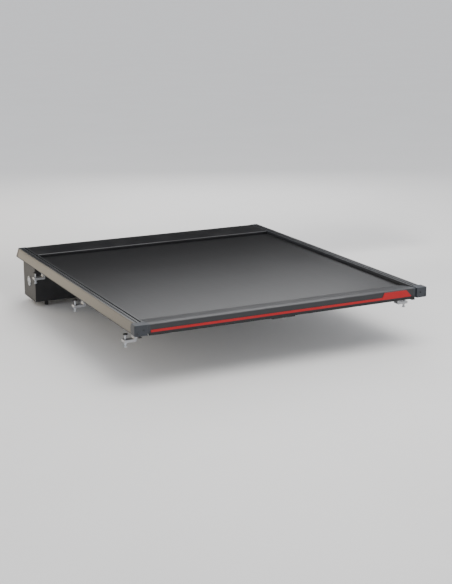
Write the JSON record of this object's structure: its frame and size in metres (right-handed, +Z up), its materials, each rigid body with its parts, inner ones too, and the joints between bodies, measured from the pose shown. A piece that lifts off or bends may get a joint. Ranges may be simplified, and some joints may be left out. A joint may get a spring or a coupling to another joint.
{
  "type": "roller tonneau cover",
  "caption": "Retractable roller cover for a pickup bed: smooth slatted curtain between two clamped side rails, rolling up into a canister at the cab end.",
  "frame": {"origin": "middle of the tail end, on the plane of the bed rim that the rails sit on", "axes": "+X to the right seen from behind, +Y along the bed towards the cab, +Z up"},
  "size_m": [1.412, 1.59, 0.27],
  "materials": {
    "rail_coat": "satin black powder coat on extruded aluminium",
    "bar_coat": "satin black powder coat",
    "cap_plastic": "moulded, fine grain",
    "black_plastic": "glass-filled nylon",
    "liner_plastic": "black low-friction plastic",
    "rubber": "EPDM",
    "zinc_steel": "zinc plated",
    "black_zinc": "black zinc plated",
    "spring_steel": "oiled spring steel",
    "cast_alloy": "die cast",
    "slat_alloy": "mill finish extrusion",
    "curtain_skin": "satin polymer laminate",
    "leader_fabric": "woven nylon",
    "shell_coat": "black powder-coated sheet",
    "accent_red": "satin red"
  },
  "bodies": {
    "root": {"right_rail": "rail_coat", "left_rail": "rail_coat", "right_rail_seal": "rubber", "left_rail_seal": "rubber", "right_guide_liner": "liner_plastic", "left_guide_liner": "liner_plastic", "strikers": "zinc_steel", "right_rear_cap": "cap_plastic", "left_rear_cap": "cap_plastic", "front_caps": "cap_plastic", "cap_screws": "black_zinc", "bed_clamps": "cast_alloy", "clamp_bolts": "zinc_steel", "clamp_pads": "black_plastic", "clamp_nuts": "zinc_steel", "curtain_slats": "slat_alloy", "slat_guides": "black_plastic", "curtain_skin": "curtain_skin", "leader_bar": "slat_alloy", "leader_sheet": "leader_fabric", "canister_shell": "shell_coat", "canister_lid": "rail_coat", "lid_wiper": "rubber", "lid_brackets": "zinc_steel", "lid_screws": "zinc_steel", "right_end_plate": "black_plastic", "left_end_plate": "black_plastic", "canister_screws": "zinc_steel", "rail_bolts": "zinc_steel", "rail_nuts": "zinc_steel", "axle_bushes": "liner_plastic", "drain_spouts": "black_plastic", "bulkhead_seal": "rubber", "spring_shaft": "zinc_steel", "tension_plate": "zinc_steel", "torsion_spring": "spring_steel"},
    "tail_bar": {"tail_bar": "bar_coat", "right_bar_shoe": "cap_plastic", "left_bar_shoe": "cap_plastic", "shoe_screws": "black_zinc", "accent_strip": "accent_red", "label_plate": "accent_red", "tail_seal": "rubber", "latch_housing": "black_plastic", "housing_screws": "zinc_steel", "rod_guides": "black_plastic", "right_latch_spring": "spring_steel", "left_latch_spring": "spring_steel"},
    "handle": {"release_handle": "black_plastic", "latch_cam": "zinc_steel", "cam_nut": "zinc_steel"},
    "lock": {"lock_cylinder": "zinc_steel"},
    "right_latch": {"right_latch_rod": "zinc_steel"},
    "left_latch": {"left_latch_rod": "zinc_steel"},
    "guide_roller": {"guide_roller": "slat_alloy", "roller_plugs": "liner_plastic"},
    "drum": {"drum_tube": "slat_alloy", "drum_hubs": "liner_plastic", "leader_retainer": "slat_alloy"}
  },
  "joints": [
    {"name": "curtain_slide", "type": "slide", "parent": "root", "child": "tail_bar", "axis": [0, 1, 0], "range_m": [0, 1.26], "deforming": ["curtain_skin", "curtain_slats", "slat_guides", "leader_bar", "leader_sheet"]},
    {"name": "drum_spin", "type": "hinge", "parent": "root", "child": "drum", "pos_m": [0, 1.4905, -0.108], "axis": [-1, 0, 0], "range_deg": [0, 1441], "deforming": ["torsion_spring"]},
    {"name": "roller_spin", "type": "hinge", "parent": "root", "child": "guide_roller", "pos_m": [0, 1.421, 0.005], "axis": [-1, 0, 0], "range_deg": [0, 4660]},
    {"name": "handle_turn", "type": "hinge", "parent": "tail_bar", "child": "handle", "pos_m": [0, 0.06, 0], "axis": [0, 0, 1], "range_deg": [0, 60]},
    {"name": "lock_turn", "type": "hinge", "parent": "handle", "child": "lock", "pos_m": [0, 0.06, -0.02], "axis": [0, 0, 1], "range_deg": [0, 90]},
    {"name": "right_latch_slide", "type": "slide", "parent": "tail_bar", "child": "right_latch", "axis": [1, 0, 0], "range_m": [0, 0.01401], "deforming": ["right_latch_spring"]},
    {"name": "left_latch_slide", "type": "slide", "parent": "tail_bar", "child": "left_latch", "axis": [-1, 0, 0], "range_m": [0, 0.01401], "deforming": ["left_latch_spring"]}
  ],
  "couplings": [
    {"joint": "drum_spin", "follows": "curtain_slide", "rad_per_m": 19.947},
    {"joint": "roller_spin", "follows": "curtain_slide", "rad_per_m": 64.5},
    {"joint": "right_latch_slide", "follows": "handle_turn", "m_per_rad": 0.013369},
    {"joint": "left_latch_slide", "follows": "handle_turn", "m_per_rad": 0.013369}
  ]
}
